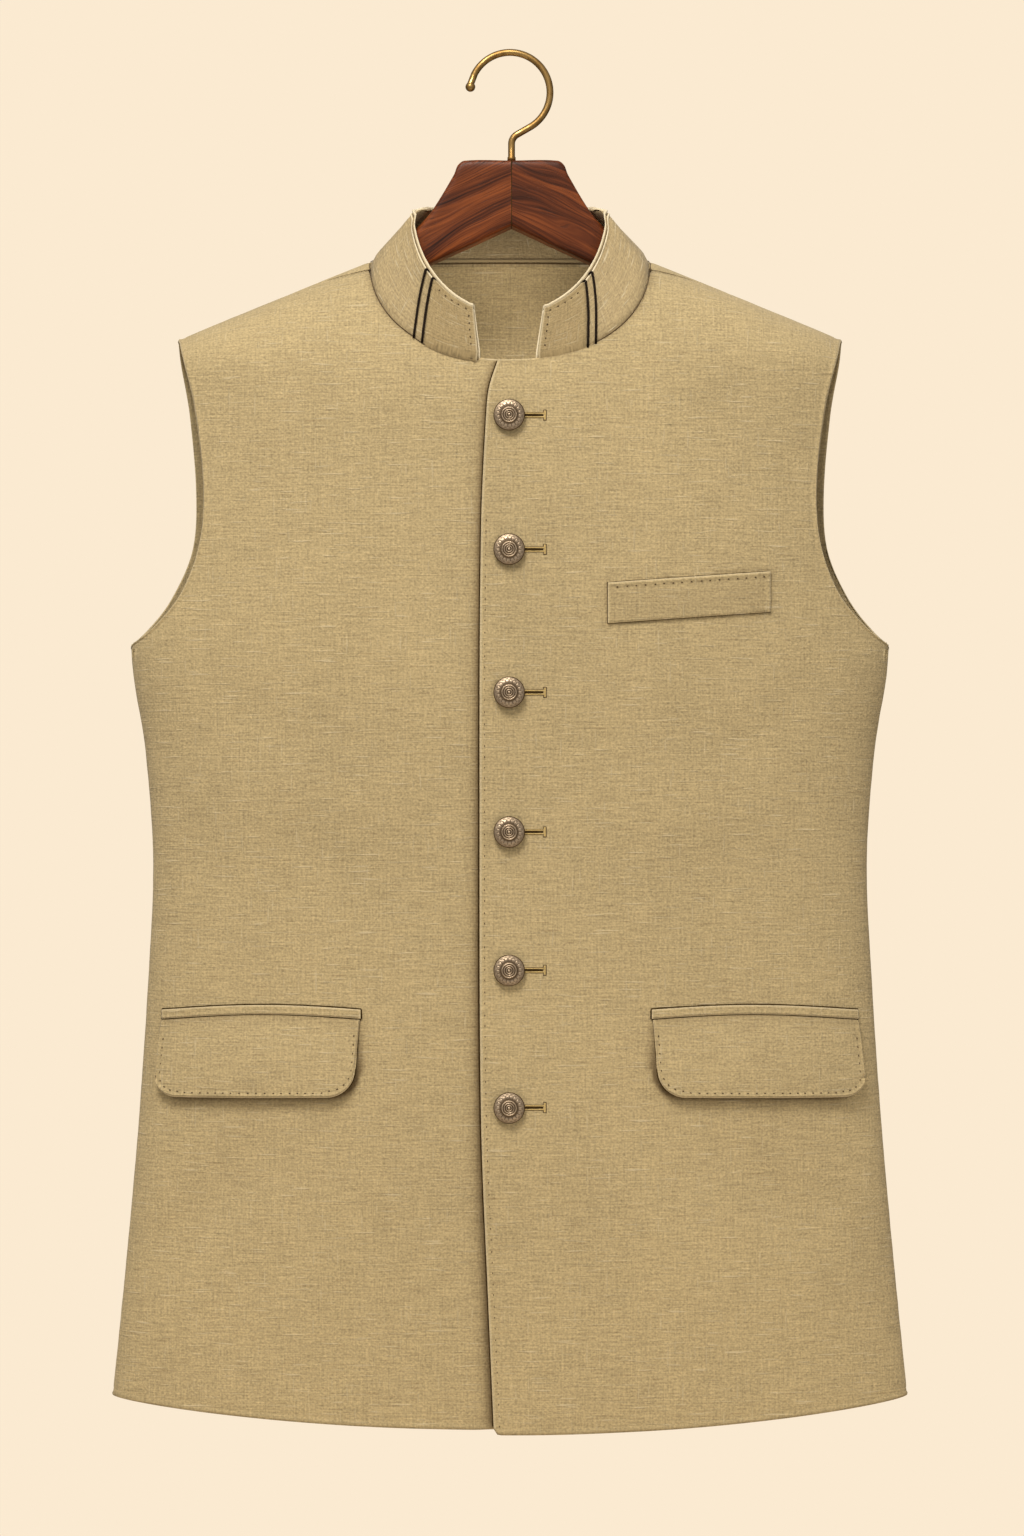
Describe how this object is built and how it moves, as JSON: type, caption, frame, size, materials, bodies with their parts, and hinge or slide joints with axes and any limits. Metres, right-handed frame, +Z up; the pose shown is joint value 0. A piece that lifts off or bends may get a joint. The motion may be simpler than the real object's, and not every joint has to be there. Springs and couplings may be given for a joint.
{
  "type": "nehru jacket on a wooden hanger",
  "caption": "Sleeveless stand-collar jacket, buttoned down the front, hanging empty on a wooden hanger with a wire hook.",
  "frame": {"origin": "inside top of the hanger's hook, where a rail carries it", "axes": "+Z up, the jacket's front faces -Y, and the wearer's left side is +X"},
  "size_m": [0.5166, 0.1244, 0.8931],
  "materials": {
    "cloth": "matte plain-weave linen with slubs",
    "piping": "matte twisted cord",
    "button_metal": "antique bronze, dark in the hollows",
    "wood": "satin varnished walnut",
    "hook_metal": "polished, slightly aged brass"
  },
  "bodies": {
    "root": {"left_front": "cloth", "right_front": "cloth", "left_back": "cloth", "right_back": "cloth", "collar_band": "cloth", "collar_tab_left": "cloth", "collar_tab_right": "cloth", "collar_piping_left_outer": "piping", "collar_piping_left_inner": "piping", "collar_piping_right_outer": "piping", "collar_piping_right_inner": "piping", "breast_welt": "cloth", "pocket_jet_left": "cloth", "pocket_jet_right": "cloth", "pocket_flap_left": "cloth", "pocket_flap_right": "cloth", "button_1": "button_metal", "button_2": "button_metal", "button_3": "button_metal", "button_4": "button_metal", "button_5": "button_metal", "button_6": "button_metal", "hanger_arm_left": "wood", "hanger_arm_right": "wood", "hanger_hook": "hook_metal"}
  },
  "joints": []
}
